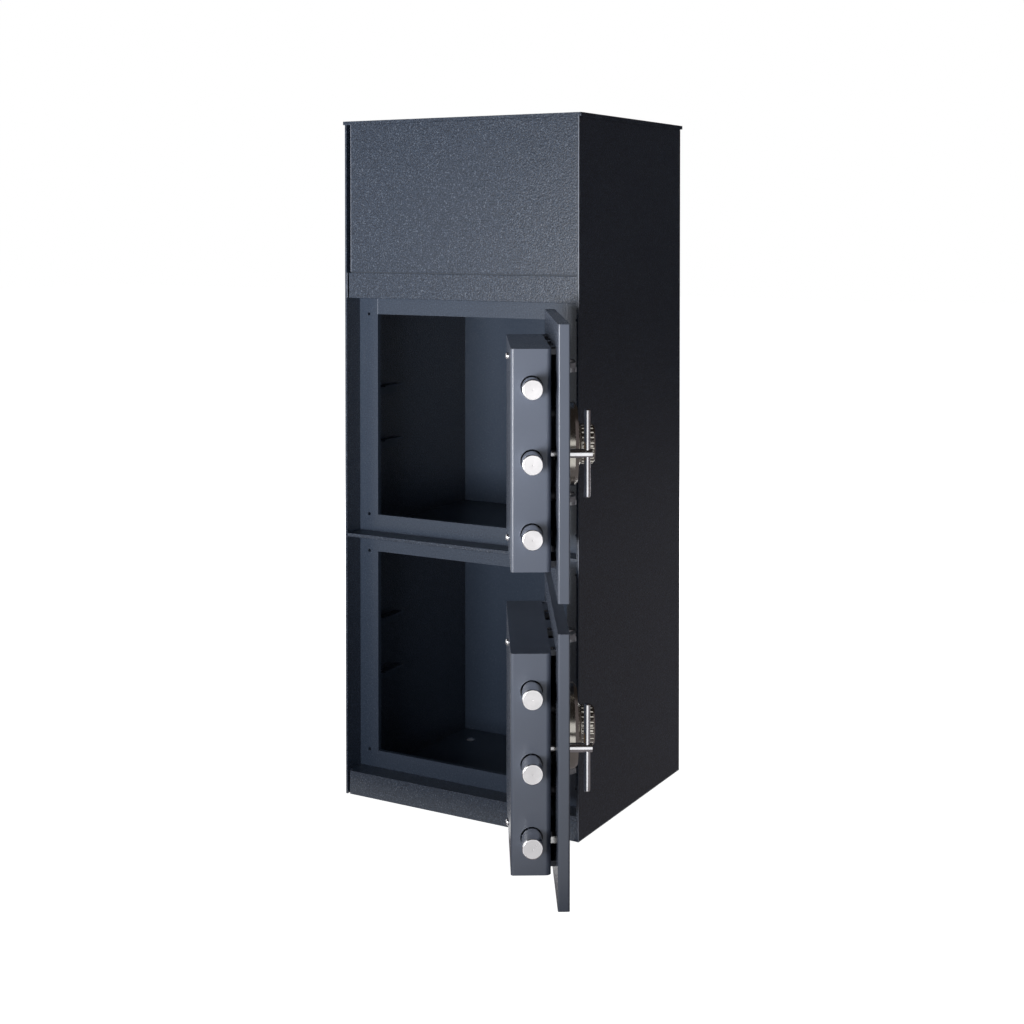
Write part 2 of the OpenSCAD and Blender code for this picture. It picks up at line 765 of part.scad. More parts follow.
// Arms from the door plate's outer face to the eyes on the hinge pins
module hinge_arms(door_z, drop) {
  foot_y = door_out_y - pin_y;
  color(smooth_grey) hung(door_z - drop)
    for (z = hinge_zs)
      translate([pin_x, pin_y, z + hinge_seat/2]) linear_extrude(hinge_plate_t) difference() {
        union() {
          circle(d = hinge_eye_d);
          polygon([[0, arm_flat_y], [0, hinge_eye_d/2], [door_x - pin_x - 2*door_edge_r, foot_y],
                   [door_x - pin_x - 2*door_edge_r - arm_foot, foot_y], [-arm_reach, foot_y - arm_slope],
                   [-arm_reach/3, arm_flat_y]]);
        }
        circle(d = hinge_pin_d + 2*run_fit);
      }
}

// Fixed bar that hooks behind the frame on the hinge side
module dead_bar(door_z) {
  hook_y = frame_back_y + dead_bar_room;
  tip_x = opening_x + dead_bar_reach;
  color(smooth_grey) hung(door_z) translate([0, 0, -dead_bar_h/2]) linear_extrude(dead_bar_h)
    polygon([[dead_bar_x0, door_in_y], [dead_bar_x1, door_in_y], [dead_bar_x1, hook_y], [tip_x, hook_y],
             [tip_x, hook_y + dead_bar_t], [dead_bar_x0, hook_y + dead_bar_t]]);
}

// Ring round the dial, with a bevelled face
module dial_ring(door_z) {
  lip = (ring_d - dial_d)/2 - clear_gap;
  bevel = lip*0.6;
  color(dark_tone) hung(door_z) translate([0, door_out_y, 0]) rotate([90, 0, 0])
    rotate_extrude() polygon([
      [dial_spindle_d/2 + 2*clear_gap, 0], [ring_d/2, 0], [ring_d/2, ring_t - bevel],
      [ring_d/2 - bevel, ring_t], [ring_d/2 - lip, ring_t],
      [ring_d/2 - lip, ring_t - dial_t - clear_gap],
      [dial_spindle_d/2 + 2*clear_gap, ring_t - dial_t - clear_gap]]);
}

// Dial with a stepped, fluted knob on its spindle
module dial(door_z) {
  back = ring_t - dial_t;
  skirt = dial_t*0.6;
  knob_foot = 3;
  knob_step = 2;
  knob_bevel = 2.5;
  flute_foot = ring_t + 2*knob_step + clear_gap;
  color(dark_tone) hung(door_z) translate([0, door_out_y, 0]) rotate([90, 0, 0]) difference() {
    rotate_extrude() polygon([
      [0, -door_t - dial_spindle_in], [dial_spindle_d/2, -door_t - dial_spindle_in],
      [dial_spindle_d/2, back], [dial_d/2, back], [dial_d/2, back + skirt],
      [knob_d/2 + knob_foot, ring_t + knob_step], [knob_d/2, ring_t + 2*knob_step],
      [knob_d/2, knob_out - knob_bevel], [knob_d/2 - knob_bevel, knob_out], [0, knob_out]]);
    for (i = [0:knob_flutes - 1]) rotate([0, 0, 360*(i + 0.5)/knob_flutes])
      translate([knob_d/2 + flute_r - flute_deep, 0, flute_foot])
        cylinder(r = flute_r, h = knob_out - flute_foot + hole_over);
  }
}

// Drive cam and three wheels on the dial spindle, each with its gate
module wheel_pack(door_z) {
  gate_w = 5;
  gate_deep = 6;
  gate_turn = 40;
  color(brass_tone) hung(door_z)
    for (i = [0:wheel_count - 1]) translate([0, wheel_y + i*wheel_step, 0]) difference() {
      rod_y(drive_cam_d, 0, wheel_t);
      rod_y(dial_spindle_d, -hole_over, wheel_t + hole_over);
      rotate([0, gate_turn*i, 0])
        span([-gate_w/2, -hole_over, drive_cam_d/2 - gate_deep], [gate_w/2, wheel_t + hole_over, drive_cam_d]);
    }
}

// Lock case with its round wheel chamber and the lock bolt's channel
module lock_case(door_z) {
  pocket_y = wheel_y - 2*clear_gap;
  channel = lock_bolt_w + 2*slide_gap;
  color(steel_tone) hung(door_z) difference() {
    span([lock_x0, door_in_y, -lock_h/2], [lock_x0 + lock_w, lock_y1, lock_h/2]);
    rod_y(lock_pocket_d, pocket_y, lock_y1 - lock_wall);
    rod_y(dial_spindle_d + 2*run_fit, door_in_y - hole_over, lock_y1 - lock_wall);
    span([-channel/2, lock_bolt_y - lock_bolt_t/2 - slide_gap, lock_pocket_d/2 - 2*clear_gap],
         [channel/2, lock_bolt_y + lock_bolt_t/2 + slide_gap, lock_h/2 + hole_over]);
  }
}

// Shoulder studs that guide the carriage, standing on the door plate
module carriage_studs(door_z) {
  color(steel_tone) hung(door_z)
    for (z = [-stud_rise, stud_rise]) translate([stud_x, 0, z]) {
      rod_y(stud_head_d, door_in_y, carriage_y0 - slide_gap);
      rod_y(stud_d, door_in_y, carriage_y1 + slide_gap);
      rod_y(stud_head_d, carriage_y1 + slide_gap, carriage_y1 + stud_cap);
    }
}

// Three round bolts with chamfered tips, each with a flat that sits on the carriage
module bolts(door_z) {
  r = bolt_d/2;
  color(chrome_tone) hung(door_z)
    for (z = bolt_zs) translate([0, 0, z]) difference() {
      translate([bolt_tip_x, bolt_y, 0]) rotate([0, 90, 0]) rotate_extrude()
        polygon([[0, 0], [r - bolt_chamfer, 0], [r, bolt_chamfer], [r, bolt_len], [0, bolt_len]]);
      span([carriage_x0, carriage_y1 - bolt_d, -bolt_d], [carriage_x1, carriage_y1, bolt_d]);
    }
}

// Flat carriage behind the bolts, with its slots and the tail that the lock blocks
module carriage(door_z) {
  slot_len = bolt_throw + slide_gap;
  pin_slot = crank_r - crank_pin_z + 2*slide_gap;
  color(steel_tone) hung(door_z)
    translate([0, carriage_y1, 0]) rotate([90, 0, 0]) linear_extrude(carriage_t) difference() {
      union() {
        translate([carriage_x0, -carriage_h/2]) square([carriage_w, carriage_h]);
        translate([carriage_x1, tail_rise + lock_throw + clear_gap])
          square([tooth_x - carriage_x1, tail_h]);
        translate([tooth_x - tooth_w, tail_rise])
          square([tooth_w, tail_h + lock_throw + clear_gap]);
      }
      for (z = [-stud_rise, stud_rise])
        translate([stud_x - slot_len/2, z]) slot_outline(slot_len, stud_d + 2*slide_gap);
      translate([crank_pin_x, (crank_pin_z + crank_r)/2]) rotate([0, 0, 90])
        slot_outline(pin_slot, crank_pin_d + 2*crank_slack);
    }
}

// Flanged bush that carries the handle spindle through the door plate
module handle_bush(door_z) {
  color(brass_tone) hung(door_z) translate([handle_x, 0, 0]) difference() {
    union() {
      rod_y(bush_d, door_out_y, door_in_y);
      rod_y(bush_flange_d, door_out_y - bush_flange_t, door_out_y);
    }
    rod_y(spindle_d + 2*run_fit, door_out_y - bush_flange_t - hole_over, door_in_y + hole_over);
  }
}

module crossbar_shape() {
  r = crossbar_d/2;
  edge = 1.2;
  translate([0, 0, -crossbar_len/2]) rotate_extrude() polygon([
    [0, 0], [r - edge, 0], [r, edge], [r, crossbar_len - edge], [r - edge, crossbar_len], [0, crossbar_len]]);
}

module crossbar(door_z) {
  color(chrome_tone) hung(door_z)
    translate([handle_x, door_out_y - crossbar_out, 0]) crossbar_shape();
}

// Spindle cross-drilled for the crossbar
module handle_spindle(door_z) {
  color(chrome_tone) hung(door_z) difference() {
    translate([handle_x, 0, 0]) rod_y(spindle_d, door_out_y - spindle_out, crank_y1);
    translate([handle_x, door_out_y - crossbar_out, -spindle_d]) cylinder(d = crossbar_d, h = 2*spindle_d);
  }
}

// Crank on the spindle's inner end, with the pin that works the carriage
module crank(door_z) {
  hub_d = 2*spindle_d;
  color(steel_tone) hung(door_z) translate([handle_x, 0, 0]) rotate([0, -handle_turn/2, 0]) {
    translate([0, crank_y1, 0]) rotate([90, 0, 0]) linear_extrude(crank_t) difference() {
      union() {
        circle(d = hub_d);
        translate([-crank_pin_d, 0]) square([2*crank_pin_d, crank_r]);
        translate([0, crank_r]) circle(r = crank_pin_d);
      }
      circle(d = spindle_d);
    }
    translate([0, 0, crank_r]) rod_y(crank_pin_d, crank_y1, carriage_y1 + clear_gap);
  }
}

module lock_bolt(door_z) {
  color(brass_tone) hung(door_z)
    span([-lock_bolt_w/2, lock_bolt_y - lock_bolt_t/2, lock_pocket_d/2 - clear_gap],
         [lock_bolt_w/2, lock_bolt_y + lock_bolt_t/2, lock_h/2]);
}

left_wall();
right_wall();
back_panel();
floor_plate();
top_plate();
head_panel();
header_band();
head_floor();
divider_shelf();
sill();
upper_door_frame();
lower_door_frame();
shelf_supports();
hinge_lugs();
hinge_pins();
hopper_chute();
hopper_baffle();
hopper_brackets();
hopper_bushes();
hopper_door();
hopper_bucket();
hopper_shaft();
hopper_pull();
door_plate(upper_door_z);  // upper_door_plate
housing(upper_door_z);  // upper_housing
housing_tabs(upper_door_z);  // upper_housing_tabs
housing_screws(upper_door_z);  // upper_housing_screws
hinge_arms(upper_door_z, upper_hinge_drop);  // upper_hinge_arms
dead_bar(upper_door_z);  // upper_dead_bar
dial_ring(upper_door_z);  // upper_dial_ring
handle_bush(upper_door_z);  // upper_handle_bush
lock_case(upper_door_z);  // upper_lock_case
carriage_studs(upper_door_z);  // upper_carriage_studs
bolts(upper_door_z);  // upper_bolts
carriage(upper_door_z);  // upper_carriage
handle_spindle(upper_door_z);  // upper_handle_spindle
crossbar(upper_door_z);  // upper_crossbar
crank(upper_door_z);  // upper_crank
dial(upper_door_z);  // upper_dial
wheel_pack(upper_door_z);  // upper_wheel_pack
lock_bolt(upper_door_z);  // upper_lock_bolt
door_plate(lower_door_z);  // lower_door_plate
housing(lower_door_z);  // lower_housing
housing_tabs(lower_door_z);  // lower_housing_tabs
housing_screws(lower_door_z);  // lower_housing_screws
hinge_arms(lower_door_z, lower_hinge_drop);  // lower_hinge_arms
dead_bar(lower_door_z);  // lower_dead_bar
dial_ring(lower_door_z);  // lower_dial_ring
handle_bush(lower_door_z);  // lower_handle_bush
lock_case(lower_door_z);  // lower_lock_case
carriage_studs(lower_door_z);  // lower_carriage_studs
bolts(lower_door_z);  // lower_bolts
carriage(lower_door_z);  // lower_carriage
handle_spindle(lower_door_z);  // lower_handle_spindle
crossbar(lower_door_z);  // lower_crossbar
crank(lower_door_z);  // lower_crank
dial(lower_door_z);  // lower_dial
wheel_pack(lower_door_z);  // lower_wheel_pack
lock_bolt(lower_door_z);  // lower_lock_bolt
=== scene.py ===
"""Looks of the two-compartment deposit safe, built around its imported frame.

Everything is in metres in the frame's own axes: X to the viewer's right, Y to the back, Z up, and
the origin at the centre of the base. The doors stand open at rest.
"""

import json
import math

import bmesh
import bpy
from mathutils import Matrix, Vector


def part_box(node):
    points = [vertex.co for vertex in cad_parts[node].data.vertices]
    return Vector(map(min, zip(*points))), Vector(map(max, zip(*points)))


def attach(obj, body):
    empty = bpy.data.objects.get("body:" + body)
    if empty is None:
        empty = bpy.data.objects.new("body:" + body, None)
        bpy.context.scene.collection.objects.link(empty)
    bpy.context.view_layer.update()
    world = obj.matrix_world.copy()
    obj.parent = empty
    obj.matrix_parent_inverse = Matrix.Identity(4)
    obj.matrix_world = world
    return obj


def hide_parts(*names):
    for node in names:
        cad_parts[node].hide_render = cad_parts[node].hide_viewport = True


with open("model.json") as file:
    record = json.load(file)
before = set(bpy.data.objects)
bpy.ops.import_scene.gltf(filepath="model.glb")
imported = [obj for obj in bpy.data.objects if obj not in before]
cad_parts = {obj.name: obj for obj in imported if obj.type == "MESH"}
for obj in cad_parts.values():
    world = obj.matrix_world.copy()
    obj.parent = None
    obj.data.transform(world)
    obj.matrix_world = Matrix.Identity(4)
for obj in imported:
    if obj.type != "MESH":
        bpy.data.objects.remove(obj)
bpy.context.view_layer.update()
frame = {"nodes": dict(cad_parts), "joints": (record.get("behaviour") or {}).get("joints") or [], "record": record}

NODES = frame["nodes"]
JOINTS = {joint["name"]: joint for joint in frame["joints"]}
SLOT_OF = {part["node"]: part["material_slot"] for part in frame["record"]["subparts"]}
DOORS = ("upper", "lower")
MM = 0.001

# Points closer than this are one point
SAME_POINT = 0.001*MM

# Camera, solved from the casing's corners and the doors' edges, with a lens for a 36 mm frame
CAMERA_PLACE = (1.0916, -1.9244, 0.7669)
CAMERA_YAW = math.radians(29.703)
CAMERA_DOWN = math.radians(1.1117)
CAMERA_FRAME = 36
CAMERA_LENS = 56.19
CAMERA_SHIFT_Y = -0.2445

# Strength of the hammertone and its painted glints: outside, on the door frames, and inside the safe
FULL = 1.0
MILD = 0.45
CALM = 0.25

# Colour on screen, roughness, grain marks per metre, grain depth, smear of wear, metallic share
METALS = {
    "bright_chrome": ((240, 240, 243), 0.14, 1400, 0.01*MM, 0.05, 1.0),
    "plain_steel": ((176, 178, 182), 0.28, 1100, 0.03*MM, 0.14, 1.0),
    "dial_metal": ((196, 192, 184), 0.16, 1300, 0.015*MM, 0.08, 1.0),
    "bronze": ((214, 178, 112), 0.24, 1000, 0.03*MM, 0.12, 1.0),
    # Pale paint that stands for highlights on lit edges and seams: painted highlight
    "highlight_paint": ((146, 152, 166), 0.32, 900, 0.02*MM, 0.1, 0.0),
    # Dark paint for the shaded gap of the head's joint: painted shade
    "joint_shade": ((46, 54, 66), 0.5, 900, 0.02*MM, 0.1, 0.0),
    "pale_steel": ((190, 192, 198), 0.4, 900, 0.03*MM, 0.1, 0.5),
    "turned_steel": ((242, 240, 242), 0.26, 900, 0.01*MM, 0.06, 0.5),
    # Steel darkened with painted shade, for parts that sit in the dark gap beside the housing
    "shade_painted_steel": ((74, 74, 78), 0.42, 900, 0.04*MM, 0.16, 1.0),
    "dial_ink": ((22, 22, 24), 0.5, 2000, 0.02*MM, 0.1, 0.0),
}

# CAD nodes, by the ends of their names, whose finish isn't their slot's own
NODE_FINISHES = {
    "_hinge_arms": "pale_steel",
    "hinge_lugs": "pale_steel",
    # Parts in the gap beside the housing take steel darkened with painted shade
    "_studs": "shade_painted_steel",
    "_lock_case": "shade_painted_steel",
    "_crank": "shade_painted_steel",
    "_carriage": "shade_painted_steel",
    "_door_frame": "frame_charcoal",
    "back_panel": "rear_charcoal",
    "shelf_supports": "calm_charcoal",
    "floor_plate": "calm_charcoal",
}

# Even light from the surroundings, and the dim sides of the studio that metal and paint reflect
AMBIENT = 0.05
DIM_SIDE = (0.14, 0.122, 0.128, 1)
DIM_FLOOR = (0.17, 0.155, 0.16, 1)
DIM_ABOVE = (0.024, 0.020, 0.018, 1)


def photo_camera():
    """The photograph's view, level with the top of the upper door."""
    data = bpy.data.cameras.new("camera")
    data.sensor_width = CAMERA_FRAME
    data.lens = CAMERA_LENS
    data.shift_y = CAMERA_SHIFT_Y
    data.clip_start = 0.05
    data.clip_end = 50
    camera = bpy.data.objects.new("camera", data)
    camera.location = CAMERA_PLACE
    camera.rotation_euler = (math.pi/2 - CAMERA_DOWN, 0, CAMERA_YAW)
    bpy.context.scene.collection.objects.link(camera)
    bpy.context.scene.camera = camera


class Value:
    """A socket of a finish. Arithmetic on it adds Math nodes."""

    def __init__(self, finish, socket):
        self.finish = finish
        self.socket = socket

    def math(self, operation, first, second):
        return self.finish.node("Math", {"operation": operation}, {0: first, 1: second})

    def __add__(self, other):
        return self.math("ADD", self, other)

    __radd__ = __add__

    def __sub__(self, other):
        return self.math("SUBTRACT", self, other)

    def __rsub__(self, other):
        return self.math("SUBTRACT", other, self)

    def __mul__(self, other):
        return self.math("MULTIPLY", self, other)

    __rmul__ = __mul__


class Finish:
    """A procedural material with one Principled shader."""

    def __init__(self, name, **constants):
        self.material = bpy.data.materials.new(name)
        self.material.use_nodes = True
        self.tree = self.material.node_tree
        self.tree.nodes.clear()
        self.shader = self.tree.nodes.new("ShaderNodeBsdfPrincipled")
        output = self.tree.nodes.new("ShaderNodeOutputMaterial")
        self.tree.links.new(self.shader.outputs[0], output.inputs["Surface"])
        self.place = self.node("TexCoord", output="Object")
        self.set(**constants)

    def node(self, kind, settings=None, inputs=None, output=0):
        """Adds a node: its settings first, then the values or links of its sockets."""
        made = self.tree.nodes.new("ShaderNode" + kind)
        for name, value in (settings or {}).items():
            setattr(made, name, value)
        for name, value in (inputs or {}).items():
            self.feed(made.inputs[name], value)
        return Value(self, made.outputs[output])

    def feed(self, socket, value):
        if isinstance(value, Value):
            self.tree.links.new(value.socket, socket)
        else:
            socket.default_value = value

    def set(self, **inputs):
        """Sets or links sockets of the shader, named with underscores."""
        for name, value in inputs.items():
            socket = name.replace("_", " ").title().replace("Ior", "IOR")
            self.feed(self.shader.inputs[socket], value)

    def noise(self, scale, detail, roughness=0.5):
        """Noise whose marks are about 1/scale of a metre."""
        return self.node("TexNoise", inputs={"Vector": self.place, "Scale": scale,
                                             "Detail": detail, "Roughness": roughness})

    def cells(self, scale):
        """Distance to the nearest of scattered points, about 1/scale of a metre apart."""
        return self.node("TexVoronoi", inputs={"Vector": self.place, "Scale": scale})

    def between(self, value, low, high):
        """0 below low and 1 above high, smooth between them."""
        return self.node("MapRange", {"interpolation_type": "SMOOTHSTEP"},
                         {"Value": value, "From Min": low, "From Max": high})

    def blend(self, factor, first, second):
        """A colour between two colours."""
        return self.node("Mix", {"data_type": "RGBA"}, {0: factor, 6: first, 7: second}, output=2)

    def bump(self, height, depth, strength):
        """Relief of that depth in metres, through the shader's normal."""
        self.set(normal=self.node("Bump", inputs={"Height": height, "Distance": depth,
                                                  "Strength": strength}))


def tone(red, green, blue):
    """A colour given as it looks on screen, 0 to 255, as a linear colour."""
    def linear(level):
        """One channel by the curve of a standard screen."""
        share = level/255
        return share/12.92 if share <= 0.04045 else ((share + 0.055)/1.055)**2.4
    return (linear(red), linear(green), linear(blue), 1.0)


def textured_paint(name, speckle, calm_before=None):
    """Blue-charcoal hammertone with a coarse speckle and pale painted glints of that strength.

    Where a plane's Y is given, the paint in front of it is as calm as inside the safe.
    """
    paint = Finish(name, specular_ior_level=0.5)
    if calm_before is not None:
        passage = 0.5*MM
        depth = paint.node("SeparateXYZ", inputs={0: paint.place}, output=1)
        behind = paint.between(depth, calm_before - passage, calm_before + passage)
        speckle = CALM + behind*(speckle - CALM)
    grain = paint.noise(520, detail=4, roughness=0.65)
    pits = paint.cells(420)
    clouds = paint.noise(9, detail=3)
    # Pale flecks in the base colour are painted glints
    glint_flecks = paint.between(paint.noise(640, detail=2), 0.57, 0.72)
    ground = paint.blend(clouds, tone(51, 63, 81), tone(59, 71, 89))
    worn = paint.between(grain, 0.38, 0.62)
    body = paint.blend(1 - (1 - worn)*speckle, tone(25, 33, 47), ground)
    paint.set(base_color=paint.blend(glint_flecks*(0.5*speckle), body, tone(128, 138, 154)),
              roughness=0.25 + 0.17*grain)
    paint.bump((grain*0.8 + pits*0.5)*speckle, depth=0.45*MM, strength=0.8)
    return paint.material


def smooth_paint():
    """Satin slate-grey paint with a faint orange peel."""
    paint = Finish("smooth_grey", specular_ior_level=0.5)
    clouds = paint.noise(14, detail=4)
    peel = paint.noise(260, detail=2)
    dust = paint.between(paint.noise(1500, detail=1), 0.68, 0.75)
    body = paint.blend(clouds, tone(92, 99, 114), tone(102, 109, 124))
    paint.set(base_color=paint.blend(dust*0.12, body, tone(150, 156, 166)),
              roughness=0.22 + 0.07*clouds)
    paint.bump(peel, depth=0.08*MM, strength=0.25)
    return paint.material


def metal(name, screen_color, roughness, grain_scale, grain_depth, smear, metallic):
    """Bare, plated or thinly painted metal with a fine grain and smeared patches of wear."""
    plate = Finish(name, metallic=metallic)
    color = tone(*screen_color)
    grain = plate.noise(grain_scale, detail=3)
    patches = plate.noise(45, detail=4, roughness=0.6)
    dull = tuple(level*0.86 for level in color[:3]) + (1.0,)
    plate.set(base_color=plate.blend(plate.between(patches, 0.35, 0.7), dull, color),
              roughness=roughness + smear*patches)
    plate.bump(grain, depth=grain_depth, strength=0.5)
    return plate.material


def all_finishes():
    """The record's slots and what each looks like, with the finishes of single pieces."""
    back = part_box("back_panel")
    finishes = {
        "textured_charcoal": textured_paint("textured_charcoal", FULL),
        "calm_charcoal": textured_paint("calm_charcoal", CALM),
        "frame_charcoal": textured_paint("frame_charcoal", MILD),
        "rear_charcoal": textured_paint("rear_charcoal", FULL, (back[0].y + back[1].y)/2),
        "smooth_grey": smooth_paint(),
    }
    for name, looks in METALS.items():
        finishes[name] = metal(name, *looks)
    return finishes


def dress_nodes(finishes):
    """Gives each CAD node its own finish, or else its slot's."""
    for name, node in NODES.items():
        kinds = [look for end, look in NODE_FINISHES.items() if name.endswith(end)]
        finish = finishes[kinds[0] if kinds else SLOT_OF[name]]
        if not node.data.materials:
            node.data.materials.append(finish)
        for place in node.material_slots:
            place.material = finish


def soften(node, width):
    """Rounds a sheet part's sharp edges as its paint and folding do, and keeps its faces flat."""
    weld = node.modifiers.new("joined_faces", "WELD")
    weld.merge_threshold = SAME_POINT
    bevel = node.modifiers.new("soft_edges", "BEVEL")
    bevel.width = width
    bevel.segments = 2
    bevel.limit_method = "ANGLE"
    bevel.angle_limit = math.radians(40)
    flat = node.modifiers.new("flat_faces", "WEIGHTED_NORMAL")
    flat.weight = 100
    flat.keep_sharp = True


def soften_sheets():
    """The edges that catch the light."""
    sheet_edge, plate_edge, housing_edge = 0.5*MM, 0.3*MM, 0.35*MM
    for name in ("left_wall", "right_wall", "top_plate", "head_panel", "header_band", "sill",
                 "divider_shelf", "shelf_supports"):
        soften(NODES[name], sheet_edge)
    for door in DOORS:
        soften(NODES[door + "_door_plate"], plate_edge)
        soften(NODES[door + "_housing"], housing_edge)
        soften(NODES[door + "_hinge_arms"], sheet_edge)


def door_place(door):
    """The dial's axes on the door's outer face: X to the hinges, Y inwards, Z up."""
    dial = JOINTS[door + "_dial_turn"]
    along = Vector(JOINTS[door + "_bolt_throw"]["axis"])
    inwards = Vector(dial["axis"])
    turn = Matrix((along, inwards, (0, 0, 1))).transposed().to_4x4()
    return Matrix.Translation(dial["pos_m"]) @ turn


def facing(direction, spin=0.0):
    """A turn that takes Z to that direction, after a spin about Z."""
    aim = Vector(direction).to_track_quat("Z", "Y").to_matrix().to_4x4()
    return aim @ Matrix.Rotation(spin, 4, "Z")


def solids_of(name, place):
    """The points of each separate solid of a CAD node, in a place's own axes, from low to high."""
    shape = bmesh.new()
    shape.from_mesh(NODES[name].data)
    bmesh.ops.remove_doubles(shape, verts=shape.verts, dist=SAME_POINT)
    shape.transform(place.inverted())
    left = set(shape.verts)
    solids = []
    for start in shape.verts:
        if start not in left:
            continue
        left.remove(start)
        group = [start]
        for vertex in group:
            for edge in vertex.link_edges:
                other = edge.other_vert(vertex)
                if other in left:
                    left.remove(other)
                    group.append(other)
        solids.append([vertex.co.copy() for vertex in group])
    shape.free()

    def rank(points):
        """Z, Y and X of the lowest corner, to a hundredth of a millimetre."""
        return tuple(round(v, 5) for v in reversed(corners_of(points)[0]))

    return sorted(solids, key=rank)


def corners_of(points):
    """The lowest and the highest corner round some points."""
    low = Vector(min(point[axis] for point in points) for axis in range(3))
    high = Vector(max(point[axis] for point in points) for axis in range(3))
    return low, high


class Shape:
    """A mesh in the making, with the frame's axes."""

    def __init__(self):
        self.mesh = bmesh.new()

    def lathe(self, profile, place, sides, reshape=None):
        """Turns a profile of radii and heights round the place's Z."""
        rings = []
        for radius, height in profile:
            count = sides if radius > 0 else 1
            turns = [2*math.pi*i/sides for i in range(count)]
            points = [Vector((radius*math.cos(turn), radius*math.sin(turn), height))
                      for turn in turns]
            if reshape:
                points = [reshape(point) for point in points]
            rings.append([self.mesh.verts.new(place @ point) for point in points])
        self.skin(rings)

    def skin(self, rings):
        """Faces between closed rings of points, where a ring may be a single point."""
        for first, second in zip(rings, rings[1:]):
            count = max(len(first), len(second))
            for i in range(count):
                j = (i + 1) % count
                corners = [first[i % len(first)], first[j % len(first)],
                           second[j % len(second)], second[i % len(second)]]
                corners = list(dict.fromkeys(corners))
                if len(corners) > 2:
                    self.mesh.faces.new(corners)

    def bead(self, start, end, out, up, radius):
        """A weld with its ripples, laid in an inner corner between two faces."""
        start, end, out, up = (Vector(v) for v in (start, end, out, up))
        length = (end - start).length
        step_length, ripple, swell = 0.45*MM, 2.1*MM, 0.16
        sunk = 0.1*MM
        arcs = 6
        steps = max(8, int(length/step_length))
        rings = []
        for step in range(steps + 1):
            along = step/steps*length
            to_end = min(along, length - along)
            taper = math.sqrt(min(1, (to_end + sunk)/(1.2*radius)))
            wave = (along/ripple) % 1
            size = radius*taper*(1 + swell*math.sin(math.pi*wave)**0.7)
            middle = start.lerp(end, along/length)
            ring = [self.mesh.verts.new(middle - (out + up)*sunk)]
            for i in range(arcs + 1):
                turn = math.pi/2*i/arcs
                crown = 0.78 + 0.22*abs(math.cos(2*turn))
                ring.append(self.mesh.verts.new(
                    middle + (out*math.cos(turn) + up*math.sin(turn))*size*crown))
            rings.append(ring)
        self.skin(rings)
        for ring in (rings[0], rings[-1]):
            self.mesh.faces.new(ring)

    def add(self, mesh, place):
        """Joins a ready mesh at a place."""
        copy = mesh.copy()
        copy.transform(place)
        self.mesh.from_mesh(copy)
        bpy.data.meshes.remove(copy)

    def done(self, name):
        """The finished mesh, smooth except at its sharp edges."""
        bmesh.ops.recalc_face_normals(self.mesh, faces=self.mesh.faces)
        mesh = bpy.data.meshes.new(name)
        self.mesh.to_mesh(mesh)
        self.mesh.free()
        mesh.shade_smooth()
        mesh.set_sharp_from_angle(angle=math.radians(30))
        return mesh

    def piece(self, name, finish, body, slot, replaced=()):
        """Puts the shape on a body as a named piece."""
        made = bpy.data.objects.new(name, self.done(name))
        made.data.materials.append(finish)
        bpy.context.scene.collection.objects.link(made)
        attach(made, body)
        if replaced:
            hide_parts(*replaced)


def turned_bolts(finishes):
    """Locking bolts with rounded chamfers and finely turned ends in place of the plain ones."""
    chamfer = 1.3*MM
    rounding_steps, shaft_steps, sides = 5, 40, 72
    end_step = 0.45*MM
    end_groove = 0.03*MM
    end_depth = 0.3*MM
    overlap = 0.2*MM
    dimple = 1.6*MM
    for door in DOORS:
        place = door_place(door)
        body = door + "_boltwork"
        carriage_low = corners_of(solids_of(door + "_carriage", place)[0])[0]
        shafts, ends = Shape(), Shape()
        for points in solids_of(door + "_bolts", place):
            low, high = corners_of(points)
            radius = (high.z - low.z)/2
            middle = (low.z + high.z)/2
            axis_y = high.y - radius
            seat = Matrix.Translation((low.x, axis_y, middle)) @ facing((1, 0, 0))

            def sit(point, seat=seat, low=low):
                """Flattens the side that lies on the carriage."""
                spot = seat @ point
                if spot.x > carriage_low.x:
                    spot.y = max(spot.y, low.y)
                return seat.inverted() @ spot

            length = high.x - low.x
            turns = [math.pi/2*i/rounding_steps for i in range(rounding_steps + 1)]
            rounding = [(radius - chamfer*(1 - math.sin(turn)), chamfer*(1 - math.cos(turn)))
                        for turn in turns]
            stations = [chamfer + (length - chamfer)*(i + 1)/shaft_steps
                        for i in range(shaft_steps)]
            face_r = radius - chamfer
            shafts.lathe([(face_r - overlap, end_depth)] + rounding
                         + [(radius, x) for x in stations] + [(0, length)],
                         place @ seat, sides, sit)
            dimple_r = dimple*0.6
            grooves = [(0, dimple*0.5), (dimple_r, 0)]
            count = int((face_r - dimple)/end_step)
            for i in range(count):
                at = dimple_r + (i + 0.5)*(face_r - dimple_r)/count
                grooves += [(at - 0.2*end_step, end_groove), (at + 0.2*end_step, 0)]
            ends.lathe(grooves + [(face_r, 0), (face_r, end_depth), (0, 0.6*dimple)],
                       place @ seat, sides)
        shafts.piece(door + "_bolt_shafts", finishes["bright_chrome"], body, "bright_chrome",
                     [door + "_bolts"])
        ends.piece(door + "_bolt_ends", finishes["turned_steel"], body, "bright_chrome")


